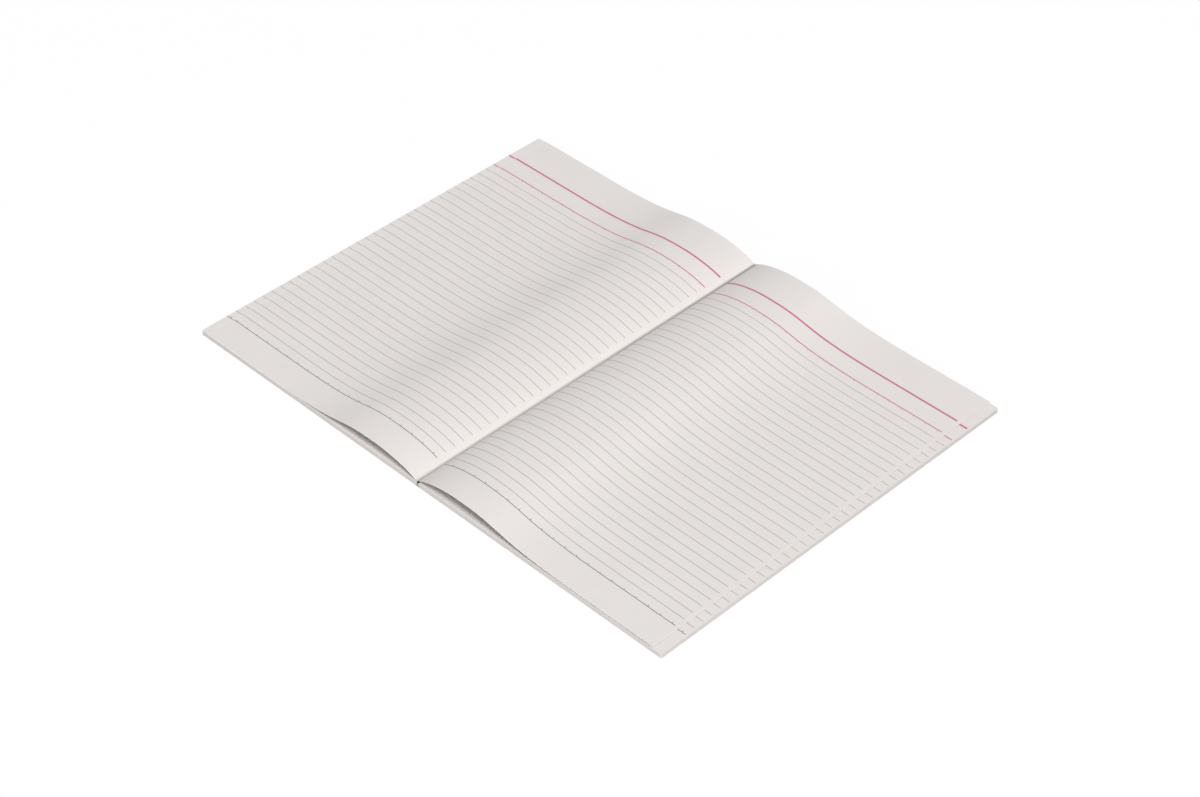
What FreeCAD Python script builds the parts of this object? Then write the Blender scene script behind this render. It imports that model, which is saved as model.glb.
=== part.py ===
import FreeCAD, Part
import os
import Sketcher
from FreeCAD import Vector

# Open notebook lying on its covers: +X over the right-hand page, +Y to the head of the page, +Z up.
# The origin is on the table, under the middle of the gutter. Millimetres.

os.makedirs("parts", exist_ok=True)
doc = FreeCAD.newDocument("notebook")

# Driving sizes: name, value, what it measures
DRIVING_SIZES = [
    ("pageHeight", 297.0, "page from foot to head"),
    ("pageReach", 202.2, "middle of the gutter to the fore-edge"),
    ("stackThickness", 2.78, "pages on one side, pressed together"),
    ("noseFlat", 0.01, "what the round nose of a stack leaves of each half of its thickness"),
    ("gutterHalf", 0.22, "middle of the gutter to a stack"),
    ("cornerRadius", 1.0, "rounded outer corners of leaves, stacks and covers"),
    ("coverThickness", 0.35, "cover card"),
    ("stripHalf", 3.0, "middle of the spine to the edge of its strip"),
    ("stripThickness", 0.2, "spine strip"),
    ("foldGap", 0.1, "running gap between the spine strip and a cover"),
    ("glueGap", 0.03, "running gap between the glue and the nose of a stack"),
    ("leafThickness", 0.2, "top leaf"),
    ("leafSlip", 0.3, "how far the top leaves have slipped towards the head of the page"),
    ("leftReach", 196.4, "middle of the gutter to the left leaf's edge"),
    ("leftCrestPlace", 40.2, "gutter to the top of the left leaf's bulge"),
    ("leftCrestRise", 8.10, "top of the left bulge above the stack"),
    ("leftTailPlace", 132.5, "gutter to where the left leaf lies flat"),
    ("leftLift", 0.09, "air under the flat of the left leaf"),
    ("rightReach", 195.3, "middle of the gutter to the right leaf's edge"),
    ("rightCrestPlace", 37.0, "gutter to the top of the right leaf's bulge"),
    ("rightCrestRise", 8.95, "top of the right bulge above the stack"),
    ("rightTailPlace", 133.8, "gutter to where the right leaf lies flat"),
    ("rightLift", 0.83, "air under the flat of the right leaf"),
]
sheet = doc.addObject("Spreadsheet::Sheet", "sizes")
for row, (word, value, note) in enumerate(DRIVING_SIZES, start=1):
    sheet.set("A%d" % row, word)
    sheet.set("B%d" % row, "%g" % value)
    sheet.setAlias("B%d" % row, word)
    sheet.set("C%d" % row, note)
doc.recompute()

# How far a leaf's rise keeps to the upright at its seam, and to the level at its crest, as shares of it
SEAM_EASE = 0.16
RISE_EASE = 0.64
# How far a leaf's slope runs level at its crest and at its flat, as shares of the slope's length
CREST_EASE = 0.39
TAIL_EASE = 0.725

NEAR = 1e-4
LEFT, RIGHT = -1, 1


def plate_sketch(body, near_edge, far_edge):
    """A rectangle as high as the page, between two bound distances from the gutter."""
    plane = [f for f in body.Origin.OriginFeatures if f.Role == "XY_Plane"][0]
    sketch = body.newObject("Sketcher::SketchObject", body.Name + "_outline")
    sketch.AttachmentSupport = (plane, "")
    sketch.MapMode = "FlatFace"
    head, foot = "(sizes.pageHeight - sizes.leafSlip) / 2", "-(sizes.pageHeight + sizes.leafSlip) / 2"
    corners = [(near_edge, foot), (far_edge, foot), (far_edge, head), (near_edge, head)]
    rough = [Vector(5, -50), Vector(90, -50), Vector(90, 50), Vector(5, 50)]
    for i in range(4):
        sketch.addGeometry(Part.LineSegment(rough[i], rough[(i + 1) % 4]), False)
    for i in range(4):
        sketch.addConstraint(Sketcher.Constraint("Coincident", i, 2, (i + 1) % 4, 1))
        for kind, formula, start in zip(("DistanceX", "DistanceY"), corners[i], rough[i]):
            index = sketch.addConstraint(Sketcher.Constraint(kind, -1, 1, i, 1, start))
            sketch.setExpression("Constraints[%d]" % index, formula)
    return sketch


def plate(name, near_edge, far_edge, thickness, level):
    """A flat sheet or stack: its outline padded up from its level above the table."""
    body = doc.addObject("PartDesign::Body", name)
    body.Label = name
    pad = body.newObject("PartDesign::Pad", name + "_pad")
    pad.Profile = plate_sketch(body, near_edge, far_edge)
    pad.setExpression("Length", thickness)
    body.setExpression("Placement.Base.z", level)
    doc.recompute()
    return body


def outer_corners(shape):
    """Names of the upright edges furthest from the gutter."""
    reach = max(abs(v.X) for v in shape.Vertexes)
    return ["Edge%d" % (i + 1) for i, e in enumerate(shape.Edges)
            if all(abs(abs(v.X) - reach) < NEAR for v in e.Vertexes)
            and abs(e.Vertexes[0].Y - e.Vertexes[-1].Y) < NEAR]


def nose_edges(shape):
    """Names of the two long edges beside the gutter."""
    gutter = min(abs(v.X) for v in shape.Vertexes)
    return ["Edge%d" % (i + 1) for i, e in enumerate(shape.Edges)
            if all(abs(abs(v.X) - gutter) < NEAR for v in e.Vertexes)
            and abs(e.Vertexes[0].Z - e.Vertexes[-1].Z) < NEAR]


def fillet(body, step, edges, radius):
    base = body.Tip
    rounded = body.newObject("PartDesign::Fillet", "%s_%s" % (body.Name, step))
    rounded.Base = (base, edges)
    rounded.setExpression("Radius", radius)
    body.Tip = rounded
    doc.recompute()


def pages(name, side):
    """All the leaves of one side but the top one, pressed together; the nose they turn on is round."""
    body = plate(name, "%d * sizes.gutterHalf" % side, "%d * sizes.pageReach" % side,
                 "sizes.stackThickness", "sizes.coverThickness")
    fillet(body, "nose", nose_edges(body.Tip.Shape), "sizes.stackThickness / 2 - sizes.noseFlat")
    fillet(body, "corners", outer_corners(body.Tip.Shape), "sizes.cornerRadius")
    return body


def cover(name, side):
    body = plate(name, "%d * (sizes.stripHalf + sizes.foldGap)" % side, "%d * sizes.pageReach" % side,
                 "sizes.coverThickness", "0")
    fillet(body, "corners", outer_corners(body.Tip.Shape), "sizes.cornerRadius")
    return body


def top_leaf(name, side, reach, crest_place, crest_rise, tail_place, lift):
    """The opened leaf: its foot stands in the gutter against the stack, it bulges, then lies level."""
    thickness = sheet.leafThickness
    stack_top = sheet.coverThickness + sheet.stackThickness
    foot = sheet.gutterHalf - thickness / 2
    flat = stack_top + lift + thickness / 2
    rise, slope = crest_place - foot, tail_place - crest_place

    def at(distance, height):
        return Vector(side * distance, 0, height)

    seam, crest, tail = at(foot, stack_top), at(crest_place, stack_top + crest_rise), at(tail_place, flat)
    climb = Part.BezierCurve()
    climb.setPoles([seam, seam + Vector(0, 0, SEAM_EASE * crest_rise), crest - at(RISE_EASE * rise, 0), crest])
    drop = Part.BezierCurve()
    drop.setPoles([crest, crest + at(CREST_EASE * slope, 0), tail - at(TAIL_EASE * slope, 0), tail])
    path = Part.Wire([
        Part.LineSegment(at(foot, sheet.coverThickness), seam).toShape(),
        climb.toShape(),
        drop.toShape(),
        Part.LineSegment(tail, at(reach, flat)).toShape(),
    ])
    inner, outer = foot - thickness / 2, foot + thickness / 2
    start, end = (sheet.leafSlip - sheet.pageHeight) / 2, (sheet.leafSlip + sheet.pageHeight) / 2
    level = sheet.coverThickness
    root = Part.makePolygon([Vector(side * inner, start, level), Vector(side * outer, start, level),
                             Vector(side * outer, end, level), Vector(side * inner, end, level),
                             Vector(side * inner, start, level)])
    shape = path.makePipeShell([root], True, False)
    upright = [e for e in shape.Edges if e.Length < 1.01 * thickness
               and all(abs(abs(v.X) - reach) < NEAR for v in e.Vertexes)]
    leaf = doc.addObject("Part::Feature", name)
    leaf.Label = name
    leaf.Shape = shape.makeFillet(sheet.cornerRadius, upright)
    print("%s: arc %.2f, section %.2f" % (name, path.Length, leaf.Shape.Volume / thickness / sheet.pageHeight))
    return leaf


def spine_strip():
    """The strip of the cover that backs the glued page edges."""
    return plate("spine_strip", "-sizes.stripHalf", "sizes.stripHalf", "sizes.stripThickness", "0")


def glue_line():
    """The film of dry glue that holds the feet of all the leaves to the spine."""
    return plate("glue_line", "-sizes.stripHalf", "sizes.stripHalf",
                 "sizes.coverThickness - sizes.stripThickness - sizes.glueGap", "sizes.stripThickness")


subparts = [
    pages("right_pages", RIGHT),
    pages("left_pages", LEFT),
    top_leaf("right_leaf", RIGHT, sheet.rightReach, sheet.rightCrestPlace, sheet.rightCrestRise,
             sheet.rightTailPlace, sheet.rightLift),
    top_leaf("left_leaf", LEFT, sheet.leftReach, sheet.leftCrestPlace, sheet.leftCrestRise,
             sheet.leftTailPlace, sheet.leftLift),
    cover("back_cover", RIGHT),
    cover("front_cover", LEFT),
    spine_strip(),
    glue_line(),
]
doc.recompute()

for item in doc.Objects:
    if "Invalid" in item.State or "Error" in item.State:
        raise RuntimeError(item.Name + " did not build")
for item in subparts:
    shape = item.Shape
    if shape.isNull() or not shape.isValid() or len(shape.Solids) != 1:
        raise RuntimeError(item.Label + " is not one sound solid")
for item in subparts:
    item.Shape.exportStep("parts/%s.step" % item.Label)
    box = item.Shape.BoundBox
    print("%-12s %8.1f mm3  x %.2f..%.2f  z %.2f..%.2f" % (
        item.Label, item.Shape.Volume, box.XMin, box.XMax, box.ZMin, box.ZMax))
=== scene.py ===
import math

import bpy
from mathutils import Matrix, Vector


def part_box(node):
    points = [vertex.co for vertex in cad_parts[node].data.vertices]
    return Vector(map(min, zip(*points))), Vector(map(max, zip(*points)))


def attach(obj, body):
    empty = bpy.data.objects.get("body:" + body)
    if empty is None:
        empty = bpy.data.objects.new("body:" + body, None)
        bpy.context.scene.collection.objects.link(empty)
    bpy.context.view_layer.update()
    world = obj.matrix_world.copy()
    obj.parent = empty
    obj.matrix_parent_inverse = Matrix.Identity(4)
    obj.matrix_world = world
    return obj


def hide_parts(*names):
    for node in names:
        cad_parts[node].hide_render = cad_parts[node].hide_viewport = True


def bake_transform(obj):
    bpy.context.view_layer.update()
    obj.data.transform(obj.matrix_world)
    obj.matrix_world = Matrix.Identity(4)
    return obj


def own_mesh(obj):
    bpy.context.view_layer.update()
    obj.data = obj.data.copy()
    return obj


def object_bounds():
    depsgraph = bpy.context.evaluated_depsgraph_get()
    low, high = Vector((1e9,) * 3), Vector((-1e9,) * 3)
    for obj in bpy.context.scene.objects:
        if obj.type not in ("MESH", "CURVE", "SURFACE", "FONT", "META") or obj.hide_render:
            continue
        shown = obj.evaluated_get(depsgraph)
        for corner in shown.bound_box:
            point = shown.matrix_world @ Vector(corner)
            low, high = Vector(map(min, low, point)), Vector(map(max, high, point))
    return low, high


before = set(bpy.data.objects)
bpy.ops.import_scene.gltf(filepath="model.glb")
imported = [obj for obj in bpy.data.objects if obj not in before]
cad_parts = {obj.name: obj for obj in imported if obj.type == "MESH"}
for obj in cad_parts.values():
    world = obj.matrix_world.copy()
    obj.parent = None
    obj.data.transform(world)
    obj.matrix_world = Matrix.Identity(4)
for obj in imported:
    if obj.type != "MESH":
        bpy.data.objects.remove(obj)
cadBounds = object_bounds()
print("frame loaded")

mm = 0.001
hairline = 0.001 * mm      # nearer than this is the same place
scene = bpy.context.scene
scene.view_settings.view_transform = "Standard"

# What the solids give: the height of the page, and where the right-hand stack starts and ends
stackLow, stackHigh = (Vector(corner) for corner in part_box("right_pages"))
pageHeight = stackHigh.y - stackLow.y
pageFoot = stackLow.y


# What all the sheets share: fibres, how they mix with the soft clouds, and the sheen
grit = {
    "alongFibres": (2400, 500, 900),
    "acrossFibres": (500, 2100, 900),
    "detail": 3.0,
    "noiseRoughness": 0.55,
    "fibreShare": 0.8,
    "cloudShare": 0.8,
    "shareOffset": -0.3,
    "roughnessSpread": 0.12,
    "bumpStrength": 0.4,
    "specular": 0.25,
    "inkSpread": 0.5,         # ink takes unevenly on the fibres
    "inkBase": 0.70,
}


# Shader values, written as Python sums
class Flow:
    def __init__(self, maker, socket):
        self.maker = maker
        self.socket = socket

    def __add__(self, other):
        return self.maker.math("ADD", self, other)

    def __radd__(self, other):
        return self.maker.math("ADD", other, self)

    def __sub__(self, other):
        return self.maker.math("SUBTRACT", self, other)

    def __rsub__(self, other):
        return self.maker.math("SUBTRACT", other, self)

    def __mul__(self, other):
        return self.maker.math("MULTIPLY", self, other)

    def __rmul__(self, other):
        return self.maker.math("MULTIPLY", other, self)

    def __truediv__(self, other):
        return self.maker.math("DIVIDE", self, other)

    def __gt__(self, other):
        return self.maker.math("GREATER_THAN", self, other)

    def __lt__(self, other):
        return self.maker.math("LESS_THAN", self, other)

    def whole(self):
        return self.maker.math("ROUND", self, 0.0)

    def size(self):
        return self.maker.math("ABSOLUTE", self, 0.0)

    def over(self, other):
        return self.maker.math("MAXIMUM", self, other)


class Maker:
    def __init__(self, owner):
        owner.use_nodes = True
        self.owner = owner
        self.tree = owner.node_tree
        self.tree.nodes.clear()

    def node(self, kind, settings, values, output=0):
        made = self.tree.nodes.new(kind)
        for key, value in settings.items():
            setattr(made, key, value)
        for key, value in values.items():
            if isinstance(value, Flow):
                self.tree.links.new(value.socket, made.inputs[key])
            else:
                made.inputs[key].default_value = value
        return Flow(self, made.outputs[output]) if made.outputs else None

    def math(self, operation, first, second, clamp=False):
        settings = {"operation": operation, "use_clamp": clamp}
        return self.node("ShaderNodeMath", settings, {0: first, 1: second})

    def held(self, value):
        return self.math("ADD", value, 0.0, clamp=True)

    def mix(self, factor, first, second):
        return self.node("ShaderNodeMix", {"data_type": "RGBA"}, {0: factor, 6: first, 7: second}, 2)

    def place(self, stretch):
        spot = self.node("ShaderNodeTexCoord", {}, {}, "Object")
        return self.node("ShaderNodeMapping", {}, {"Vector": spot, "Scale": stretch})

    def noise(self, stretch, detail):
        return self.node("ShaderNodeTexNoise", {}, {"Vector": self.place(stretch), "Scale": 1.0,
                                                    "Detail": detail, "Roughness": grit["noiseRoughness"]})

    def surface(self, values):
        shader = self.node("ShaderNodeBsdfPrincipled", {}, values)
        self.node("ShaderNodeOutputMaterial", {}, {"Surface": shader})
        return self.owner


# The print, measured along a sheet inward from its outer end, and down from the thick head rule
ruling = {
    "width": 192.65 * mm,
    "headRule": 268.65 * mm,      # thick rule, up from the foot of the page
    "pitch": 7.286 * mm,
    "thinRule": 2.0,             # places of the rules, counted in pitches
    "firstGrey": 3.0,
    "footRule": 34.0,
    "thickWidth": 1.45 * mm,
    "thinWidth": 0.80 * mm,
    "greyWidth": 0.38 * mm,
    "footWidth": 0.46 * mm,
    "tickPitch": (9.76 * mm, 9.58 * mm),      # left-hand page, right-hand page
    "firstTick": (3.2 * mm, 2.7 * mm),
    "tickHeight": 1.35 * mm,
    "tickWidth": 0.36 * mm,
    "softness": 0.12 * mm,
    "pink": (0.61, 0.150, 0.335, 1),
    "grey": (0.315, 0.29, 0.295, 1),
    "footInk": (0.095, 0.09, 0.092, 1),
}

paper = {
    "light": (0.817, 0.780, 0.756, 1),
    "dark": (0.777, 0.739, 0.715, 1),
    "cloud": (34, 34, 34),
    "roughness": 0.80,
    "relief": 0.03 * mm,
}

# Painted highlight: paler paper for the strip along the top leaf's cut edges
rim = {
    "light": (0.90, 0.875, 0.855, 1),
    "dark": (0.86, 0.835, 0.815, 1),
    "cloud": (60, 60, 60),
    "roughness": 0.80,
    "relief": 0.02 * mm,
}

# The cut sides of the stacked pages, drawn out in lines along the leaves
edges = {
    "light": (0.815, 0.770, 0.750, 1),
    "dark": (0.738, 0.693, 0.673, 1),
    "cloud": (6, 6, 1600),
    "roughness": 0.88,
    "relief": 0.01 * mm,
}

card = {
    "light": (0.770, 0.740, 0.716, 1),
    "dark": (0.705, 0.675, 0.650, 1),
    "cloud": (22, 22, 22),
    "roughness": 0.70,
    "relief": 0.05 * mm,
}

glue = {
    "light": (0.74, 0.70, 0.60, 1),
    "dark": (0.66, 0.62, 0.52, 1),
    "cloud": (160, 160, 160),
    "roughness": 0.42,
    "relief": 0.05 * mm,
}


def fibres(maker):
    along = maker.noise(grit["alongFibres"], grit["detail"])
    across = maker.noise(grit["acrossFibres"], grit["detail"])
    return (along + across) * 0.5


def strip(maker, away, width):
    return maker.held((width / 2 - away) / ruling["softness"] + 0.5)


def restPlace(maker, *axes):
    spot = maker.node("ShaderNodeTexCoord", {}, {}, "Object")
    return [maker.node("ShaderNodeSeparateXYZ", {}, {0: spot}, axis) for axis in axes]


def printMasks(maker):
    pageMap = maker.node("ShaderNodeUVMap", {"uv_map": "pageMap"}, {})
    inward = maker.node("ShaderNodeSeparateXYZ", {}, {0: pageMap}, "X")
    up = Flow(maker, inward.socket.node.outputs["Y"])
    down = (ruling["headRule"] - up) / ruling["pitch"]

    def rule(number, width):
        return strip(maker, (down - number).size() * ruling["pitch"], width)

    middle = (inward - ruling["width"] / 2).size()
    inside = strip(maker, middle, ruling["width"])
    right = restPlace(maker, "X")[0] > 0.0
    tickPitch, firstTick = ((second - first) * right + first for first, second in
                            (ruling["tickPitch"], ruling["firstTick"]))
    tickNumber = (inward - firstTick) / tickPitch
    ticks = strip(maker, (tickNumber - tickNumber.whole()).size() * tickPitch, ruling["tickWidth"])
    reach = ruling["tickHeight"] / ruling["pitch"]
    hanging = ticks * (down > ruling["thinRule"]) * (down < ruling["thinRule"] + reach)
    standing = ticks * (down > ruling["footRule"] - reach) * (down < ruling["footRule"])

    pink = rule(0.0, ruling["thickWidth"]).over(rule(ruling["thinRule"], ruling["thinWidth"])).over(hanging)
    foot = rule(ruling["footRule"], ruling["footWidth"]).over(standing)
    grey = strip(maker, (down - down.whole()).size() * ruling["pitch"], ruling["greyWidth"])
    grey = grey * (down > ruling["firstGrey"] - 0.5) * (down < ruling["footRule"] - 0.5)
    return pink * inside, grey * inside, foot * inside


# The fold: painted shade where the two leaves meet, and painted shadow of the gap between the two stacks at
# its two ends
fold = {
    "shadeCentre": 0.30 * mm,
    "shadeWidth": 2.3 * mm,
    "shadeSoftness": 1.2 * mm,
    "shade": (0.33, 0.31, 0.30, 1),
    "shadeAtFoot": 0.56,
    "shadeAtHead": 0.92,
    # Painted shadow at the fold's two ends: on the leaf's cut edges beside the fold and on the right-hand
    # stack's nose
    "darkReach": 2.3 * mm,
    "darkSoftness": 0.3 * mm,
    "darkStart": -0.02 * mm,      # just past the middle of the gutter
    "dark": (0.055, 0.048, 0.046, 1),
    "noseCentre": (1.61 * mm, 1.74 * mm),
    "noseInner": 0.95 * mm,
    "noseReach": 0.8 * mm,
}


def inkRules(maker, colour, grain):
    pink, grey, foot = printMasks(maker)
    take = maker.held(grain * grit["inkSpread"] + grit["inkBase"])
    colour = maker.mix(grey * take, colour, ruling["grey"])
    colour = maker.mix(foot * take, colour, ruling["footInk"])
    return maker.mix(pink * take, colour, ruling["pink"])


# Painted shade in the fold's crease, stronger towards the head of the page
def paintFoldShade(maker, colour, grain):
    across, up = restPlace(maker, "X", "Y")
    away = (across - fold["shadeCentre"]).size()
    near = maker.held((fold["shadeWidth"] / 2 - away) / fold["shadeSoftness"] + 0.5)
    along = (up - pageFoot) / pageHeight
    strength = along * along * (fold["shadeAtHead"] - fold["shadeAtFoot"]) + fold["shadeAtFoot"]
    return maker.mix(near * strength, colour, fold["shade"])


# Painted shadow on the right-hand leaf's cut edges where the leaf rises from the fold
def paintLeafEndShadow(maker, colour, grain):
    across = restPlace(maker, "X")[0]
    near = maker.held((fold["darkReach"] - across) / fold["darkSoftness"] + 0.5)
    return maker.mix(near * (across > fold["darkStart"]), colour, fold["dark"])


# Painted shadow on the right-hand stack's rounded nose beside the fold, and a little way along its bottom
# edge
def paintNoseShadow(maker, colour, grain):
    across, up = restPlace(maker, "X", "Z")
    aside, above = across - fold["noseCentre"][0], up - fold["noseCentre"][1]
    away = maker.math("SQRT", aside * aside + above * above, 0.0)
    ring = maker.held((away - fold["noseInner"]) / fold["darkSoftness"] + 0.5)
    beside = (across > 0.0) * (aside - (above < 0.0) * fold["noseReach"] < 0.0)
    return maker.mix(ring * beside, colour, fold["dark"])


def sheetMaterial(name, look, *coats):
    maker = Maker(bpy.data.materials.new(name))
    grain = fibres(maker)
    cloud = maker.noise(look["cloud"], grit["detail"])
    share = grain * grit["fibreShare"] + cloud * grit["cloudShare"] + grit["shareOffset"]
    colour = maker.mix(maker.held(share), look["dark"], look["light"])
    for coat in coats:
        colour = coat(maker, colour, grain)
    bump = maker.node("ShaderNodeBump", {}, {"Strength": grit["bumpStrength"], "Distance": look["relief"],
                                             "Height": grain})
    spread = grit["roughnessSpread"]
    roughness = grain * spread + (look["roughness"] - spread / 2)
    return maker.surface({"Base Color": colour, "Roughness": roughness, "Normal": bump,
                          "Specular IOR Level": grit["specular"]})


# The ruled paper and the leaf's rim carry painted shade in the fold's crease
ruledPaper = sheetMaterial("ruledPaper", paper, inkRules, paintFoldShade)
# The leaf's rim: a painted highlight, with painted shade at the fold and painted shadow at the fold's end
leafRimHighlight = sheetMaterial("leafRimHighlight", rim, paintFoldShade, paintLeafEndShadow)
# The cut sides carry painted shadow on the stack's nose beside the fold
cutEdges = sheetMaterial("cutEdges", edges, paintNoseShadow)
coverCard = sheetMaterial("coverCard", card)
dryGlue = sheetMaterial("dryGlue", glue)
print("materials made")


def selectNothing():
    if bpy.context.object and bpy.context.object.mode != "OBJECT":
        bpy.ops.object.mode_set(mode="OBJECT")
    bpy.ops.object.select_all(action="DESELECT")


def work(piece):
    selectNothing()
    bpy.context.view_layer.objects.active = piece
    piece.select_set(True)


def edit(piece, mode="VERT"):
    work(piece)
    bpy.ops.object.mode_set(mode="EDIT")
    bpy.ops.mesh.select_mode(type=mode)
    bpy.ops.mesh.select_all(action="DESELECT")
    bpy.ops.object.mode_set(mode="OBJECT")


def pickVertices(piece, wanted):
    edit(piece)
    for vertex in piece.data.vertices:
        vertex.select = wanted(vertex.co)
    bpy.ops.object.mode_set(mode="EDIT")


def pickEdges(piece, wanted):
    edit(piece, "EDGE")
    places = [vertex.co for vertex in piece.data.vertices]
    for line in piece.data.edges:
        line.select = wanted(places[line.vertices[0]], places[line.vertices[1]])
    bpy.ops.object.mode_set(mode="EDIT")


def settle(piece, name, material):
    work(piece)
    bpy.ops.object.transform_apply(location=True, rotation=True, scale=True)
    piece.name = name
    piece.data.name = name
    piece.data.materials.clear()
    piece.data.materials.append(material)
    return piece


# Each leaf's bulge; its crest and its reach come from its solid
leaves = {
    "left_leaf": {
        "piece": "leftLeafSheet", "body": "left_half", "side": -1,
        "crestPlace": 40.2 * mm, "tailPlace": 132.5 * mm, "lift": 0.09 * mm, "printMargin": 0.0,
    },
    "right_leaf": {
        "piece": "rightLeafSheet", "body": "right_half", "side": 1,
        "crestPlace": 37.0 * mm, "tailPlace": 133.8 * mm, "lift": 0.83 * mm, "printMargin": 2.8 * mm,
    },
}
leafSheet = {
    "solidThickness": 0.2 * mm,
    "thickness": 0.18 * mm,
    "rim": 0.35 * mm,         # painted highlight: a paler strip along the cut edges
    "foot": 0.12 * mm,
    "upright": 0.2 * mm,      # nearer the gutter than this the leaf stands
    "seamEase": 0.16,         # handles of the bulge, as shares of its rise and of its slope
    "riseEase": 0.64,
    "crestEase": 0.39,
    "tailEase": 0.725,
    "steps": 36,              # points along each stretch of the bulge
    "strips": 30,             # along the height of the page
    "corner": 1.0 * mm,
    "cornerSteps": 5,
    "smoothAngle": math.radians(40),
    "pressed": 0.02,          # share of its height that is left when the book is closed
}
# The faint waves of a top leaf: height, waves along the page, a slower swell and its start, turns per metre
# away from the gutter, and how much fainter the waves are at the outer edge
cockle = {"height": 0.10 * mm, "waves": 5.1, "swell": 2.3, "swellStart": 1.1, "turn": 30, "fade": 0.6}


def leafLine(leaf, low, high):
    side = leaf["side"]
    reach = max(abs(low.x), abs(high.x))
    crestHeight = high.z - leafSheet["solidThickness"] / 2
    flat = stackHigh.z + leaf["lift"] + leafSheet["solidThickness"] / 2
    seam = Vector((leafSheet["foot"], 0, stackHigh.z))
    crest = Vector((leaf["crestPlace"], 0, crestHeight))
    tail = Vector((leaf["tailPlace"], 0, flat))
    slope = tail.x - crest.x
    rise = Vector((0, 0, (crest.z - seam.z) * leafSheet["seamEase"]))
    level = Vector(((crest.x - seam.x) * leafSheet["riseEase"], 0, 0))
    stem = Vector((0, 0, (seam.z - low.z) / 3))
    rimStart = Vector((reach - leafSheet["rim"], 0, flat))
    straight = (rimStart - tail) / 3
    short = (Vector((reach, 0, flat)) - rimStart) / 3
    ease = leafSheet["crestEase"] * slope, leafSheet["tailEase"] * slope
    # place, handle before it, handle after it
    points = [
        (Vector((seam.x, 0, low.z)), -stem, stem),
        (seam, -stem, rise),
        (crest, -level, Vector((ease[0], 0, 0))),
        (tail, Vector((-ease[1], 0, 0)), straight),
        (rimStart, -straight, short),
        (Vector((reach, 0, flat)), -short, short),
    ]
    bpy.ops.curve.primitive_bezier_curve_add(location=(0, 0, 0))
    line = bpy.context.object
    line.data.resolution_u = leafSheet["steps"]
    spline = line.data.splines[0]
    spline.bezier_points.add(len(points) - 2)
    for knot, (place, before, after) in zip(spline.bezier_points, points):
        knot.handle_left_type = knot.handle_right_type = "FREE"
        spots = [Vector((side * spot.x, low.y, spot.z)) for spot in (place, place + before, place + after)]
        knot.co, knot.handle_left, knot.handle_right = spots
    bpy.ops.object.convert(target="MESH")
    return bpy.context.object


def repaintFaces(piece, material, wanted):
    piece.data.materials.append(material)
    number = len(piece.data.materials) - 1
    for face in piece.data.polygons:
        if wanted(face):
            face.material_index = number


def mapPage(piece, distances, outerEnd, foot):
    chart = piece.data.uv_layers.new(name="pageMap")
    for corner in piece.data.loops:
        place = piece.data.vertices[corner.vertex_index].co
        chart.data[corner.index].uv = (outerEnd - distances(place), place.y - foot)


def arcAlong(piece):
    # distance from the fold to each point of the line, before it is drawn out into a sheet
    places = [vertex.co.copy() for vertex in piece.data.vertices]
    links = {}
    for line in piece.data.edges:
        a, b = line.vertices
        links.setdefault(a, []).append(b)
        links.setdefault(b, []).append(a)
    start = min(links, key=lambda i: (round(abs(places[i].x), 7), places[i].z))
    table, last, here, gone = [], None, start, 0.0
    while True:
        table.append((abs(places[here].x), places[here].z, gone))
        ahead = [i for i in links[here] if i != last]
        if not ahead:
            return table
        gone += (places[ahead[0]] - places[here]).length
        last, here = here, ahead[0]


def makeLeaf(node):
    leaf = leaves[node]
    low, high = (Vector(corner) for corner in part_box(node))
    selectNothing()
    sheet = leafLine(leaf, low, high)
    table = arcAlong(sheet)
    total = table[-1][2]

    pickVertices(sheet, lambda place: True)
    inner = (pageHeight - 2 * leafSheet["rim"]) / leafSheet["strips"]
    for step in [leafSheet["rim"]] + [inner] * leafSheet["strips"] + [leafSheet["rim"]]:
        bpy.ops.mesh.extrude_region_move(TRANSFORM_OT_translate={"value": (0, step, 0)})
    bpy.ops.object.mode_set(mode="OBJECT")

    reach = table[-1][0]
    pickVertices(sheet, lambda place: abs(abs(place.x) - reach) < hairline
                 and min(place.y - low.y, high.y - place.y) < hairline)
    bpy.ops.mesh.bevel(offset=leafSheet["corner"], segments=leafSheet["cornerSteps"], affect="VERTICES")
    bpy.ops.object.mode_set(mode="OBJECT")

    def distance(place):
        if abs(place.x) < leafSheet["upright"]:
            return place.z - low.z
        for (x0, z0, s0), (x1, z1, s1) in zip(table, table[1:]):
            if x0 <= abs(place.x) <= x1 and x1 > x0:
                return s0 + (s1 - s0) * (abs(place.x) - x0) / (x1 - x0)
        return total

    mapPage(sheet, distance, total - leaf["printMargin"], low.y)
    for vertex in sheet.data.vertices:
        away = abs(vertex.co.x)
        along = (vertex.co.y - low.y) / pageHeight
        wave = math.sin(cockle["waves"] * math.pi * along + away * cockle["turn"])
        wave *= math.sin(cockle["swell"] * math.pi * along + cockle["swellStart"])
        ramp = min(1.0, away / leaf["crestPlace"])
        vertex.co.z += cockle["height"] * wave * ramp * (1 - cockle["fade"] * away / reach)

    thick = sheet.modifiers.new("thickness", "SOLIDIFY")
    thick.thickness = leafSheet["thickness"]
    thick.offset = 0
    work(sheet)
    bpy.ops.object.modifier_apply(modifier=thick.name)
    pickVertices(sheet, lambda place: True)
    bpy.ops.mesh.normals_make_consistent(inside=False)
    bpy.ops.object.mode_set(mode="OBJECT")
    bpy.ops.object.shade_smooth_by_angle(angle=leafSheet["smoothAngle"])
    settle(sheet, leaf["piece"], ruledPaper)
    # painted highlight on the strip along the leaf's cut edges
    inset = leafSheet["rim"] * 1.01
    repaintFaces(sheet, leafRimHighlight, lambda face: abs(face.center.x) > reach - inset
                 or min(face.center.y - low.y, high.y - face.center.y) < inset)
    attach(sheet, leaf["body"])
    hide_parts(node)
    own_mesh(sheet)


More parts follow.
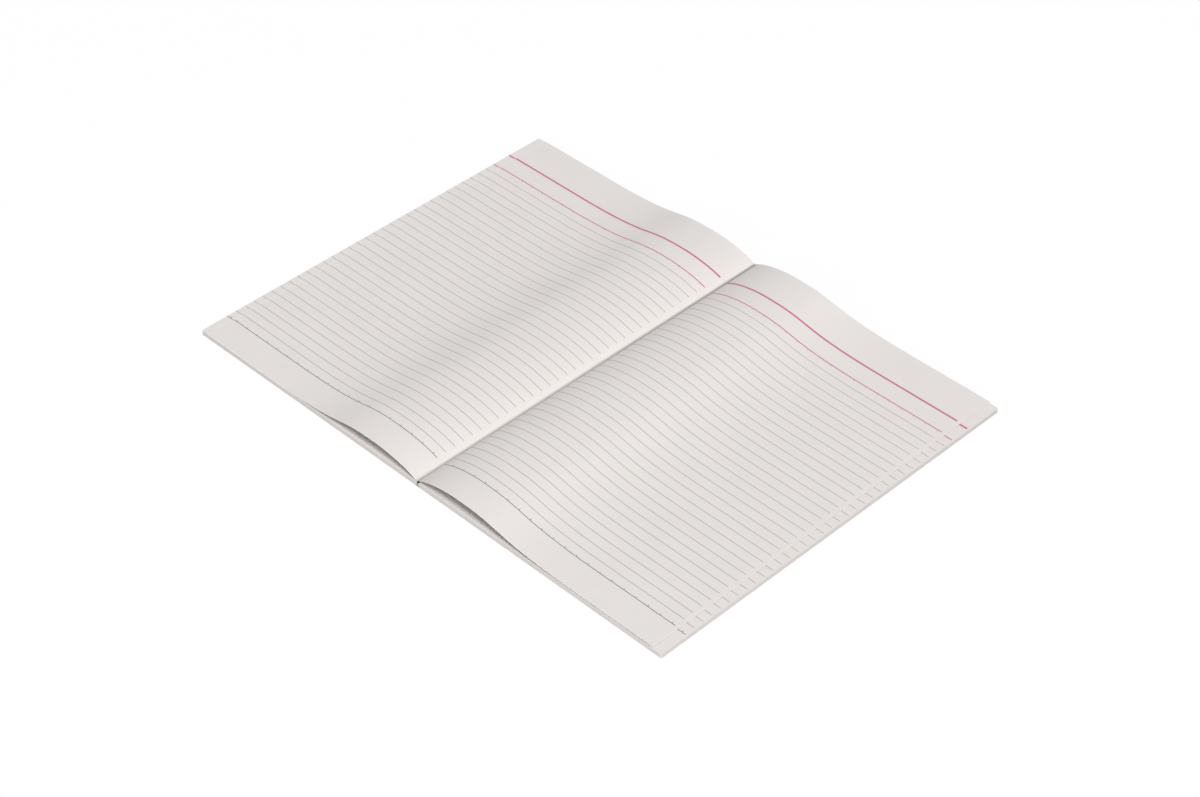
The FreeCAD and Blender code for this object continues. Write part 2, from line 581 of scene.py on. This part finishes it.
for node in leaves:
    makeLeaf(node)
print("top leaves made")

# The pages under each leaf, pressed together
stacks = {
    "left_pages": {"piece": "leftPageStack", "body": "left_half", "printMargin": 0.0},
    "right_pages": {"piece": "rightPageStack", "body": "right_half", "printMargin": 1.5 * mm},
}
stack = {
    "nose": 0.99,             # how much of its thickness is rounded off beside the gutter
    "noseSteps": 14,
    "corner": 1.2 * mm,
    "cornerSteps": 4,
    "smoothAngle": math.radians(30),
    "level": 0.999,           # faces that look up or down more squarely than this are pages
}


def makeStack(node):
    plan = stacks[node]
    low, high = (Vector(corner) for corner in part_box(node))
    reach = max(abs(low.x), abs(high.x))
    thickness = high.z - low.z
    selectNothing()
    bpy.ops.mesh.primitive_cube_add(size=1, location=(low + high) / 2)
    block = bpy.context.object
    block.scale = high - low
    bpy.ops.object.transform_apply(location=True, rotation=True, scale=True)
    pickEdges(block, lambda a, b: abs(a.y - b.y) > pageHeight / 2 and abs(a.x) < thickness)
    bpy.ops.mesh.bevel(offset=stack["nose"] * thickness / 2, segments=stack["noseSteps"], affect="EDGES")
    pickEdges(block, lambda a, b: abs(a.z - b.z) > thickness / 2
              and min(abs(a.x), abs(b.x)) > reach - hairline)
    bpy.ops.mesh.bevel(offset=stack["corner"], segments=stack["cornerSteps"], affect="EDGES")
    bpy.ops.object.mode_set(mode="OBJECT")
    bpy.ops.object.shade_smooth_by_angle(angle=stack["smoothAngle"])
    mapPage(block, lambda place: abs(place.x), reach - plan["printMargin"], low.y)
    settle(block, plan["piece"], ruledPaper)
    repaintFaces(block, cutEdges, lambda face: abs(face.normal.z) < stack["level"])
    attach(block, plan["body"])
    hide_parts(node)


for node in stacks:
    makeStack(node)
print("page stacks made")

# The middle strip of the cover, in two flat halves, each cut across into narrow strips
wrap = {
    "steps": 14,
    "still": 0.9 * mm,        # this far from the middle it stays with the spine
    "clearance": 0.02 * mm,
}


def makeWrap(name, side):
    stripLow, stripHigh = (Vector(corner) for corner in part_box("spine_strip"))
    coverLow, coverHigh = (Vector(corner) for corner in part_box("back_cover"))
    far = min(abs(coverLow.x), abs(coverHigh.x)) - wrap["clearance"]
    thickness = stripHigh.z - stripLow.z
    middle = (side * far / 2, (stripLow.y + stripHigh.y) / 2, thickness / 2)
    bpy.ops.mesh.primitive_cube_add(size=1, location=middle)
    bend = bpy.context.object
    bend.scale = (far, pageHeight, thickness)
    bpy.ops.object.transform_apply(location=True, rotation=True, scale=True)
    pickEdges(bend, lambda a, b: abs(a.x - b.x) > hairline)
    bpy.ops.mesh.subdivide_edgering(number_cuts=wrap["steps"], interpolation="LINEAR")
    bpy.ops.object.mode_set(mode="OBJECT")
    settle(bend, name, coverCard)
    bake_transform(bend)
    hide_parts("spine_strip")


makeWrap("spineWrapRight", 1)
makeWrap("spineWrapLeft", -1)
print("spine wrap made")


def repaint(node, material):
    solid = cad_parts[node]
    solid.data.materials.clear()
    solid.data.materials.append(material)


for node, material in (("front_cover", coverCard), ("back_cover", coverCard), ("glue_line", dryGlue)):
    repaint(node, material)
print("covers painted")

view = {
    "turn": math.radians(44.971),
    "climb": math.radians(40.454),
    "distance": 1737.9 * mm,
    "aim": Vector((20.4 * mm, -14.9 * mm, 0)),
    "lens": 84.58,
    "sensor": 36.0,
    "clip": (0.05, 50),
}


def makeCamera():
    turn, climb = view["turn"], view["climb"]
    back = Vector((math.sin(turn) * math.cos(climb), -math.cos(turn) * math.cos(climb), math.sin(climb)))
    bpy.ops.object.camera_add(location=view["aim"] + back * view["distance"])
    camera = bpy.context.object
    camera.rotation_euler = back.to_track_quat("Z", "Y").to_euler()
    camera.data.lens = view["lens"]
    camera.data.sensor_width = view["sensor"]
    camera.data.clip_start, camera.data.clip_end = view["clip"]
    scene.camera = camera


light = {
    "world": 0.34,
    "keyPlace": Vector((7.1, -3.25, 10.0)),
    "keySize": 4.2,
    "keyPower": 1155.0,
    "fillPlace": Vector((1.5, -9.0, 2.6)),
    "fillSize": 4.0,
    "fillPower": 205.0,
    "floorColour": (0.50, 0.50, 0.50, 1),
    "floorSize": 14.0,
    "floorGlow": 0.85,
    "floorStrength": 1.09,
}


def areaLight(name, place, size, power):
    bpy.ops.object.light_add(type="AREA", location=place)
    lamp = bpy.context.object
    lamp.name = name
    lamp.data.shape = "DISK"
    lamp.data.size = size
    lamp.data.energy = power
    lamp.rotation_euler = place.to_track_quat("Z", "Y").to_euler()


def makeFloor():
    maker = Maker(bpy.data.materials.new("paleFloor"))
    path = "ShaderNodeLightPath"
    seen = (maker.node(path, {}, {}, "Is Camera Ray").over(maker.node(path, {}, {}, "Is Glossy Ray"))
            .over(maker.node(path, {}, {}, "Is Transmission Ray")))
    matte = maker.node("ShaderNodeBsdfDiffuse", {}, {"Color": light["floorColour"]})
    glow = maker.node("ShaderNodeEmission", {}, {"Color": (1, 1, 1, 1), "Strength": light["floorStrength"]})
    mixed = maker.node("ShaderNodeMixShader", {}, {0: seen * light["floorGlow"], 1: matte, 2: glow})
    maker.node("ShaderNodeOutputMaterial", {}, {"Surface": mixed})
    bpy.ops.mesh.primitive_plane_add(size=light["floorSize"], location=(0, 0, cadBounds[0][2]))
    floor = bpy.context.object
    floor.name = "paleFloor"
    floor.data.materials.append(maker.owner)


def makeWorld():
    maker = Maker(bpy.data.worlds.new("softRoom"))
    seen = maker.node("ShaderNodeLightPath", {}, {}, "Is Camera Ray")
    room = maker.node("ShaderNodeBackground", {}, {"Color": (1, 1, 1, 1), "Strength": light["world"]})
    white = maker.node("ShaderNodeBackground", {}, {"Color": (1, 1, 1, 1), "Strength": 1.0})
    mixed = maker.node("ShaderNodeMixShader", {}, {0: seen, 1: room, 2: white})
    maker.node("ShaderNodeOutputWorld", {}, {"Surface": mixed})
    scene.world = maker.owner


selectNothing()
makeCamera()
areaLight("keyLamp", light["keyPlace"], light["keySize"], light["keyPower"])
areaLight("fillLamp", light["fillPlace"], light["fillSize"], light["fillPower"])
makeFloor()
makeWorld()
print("camera and lights set")
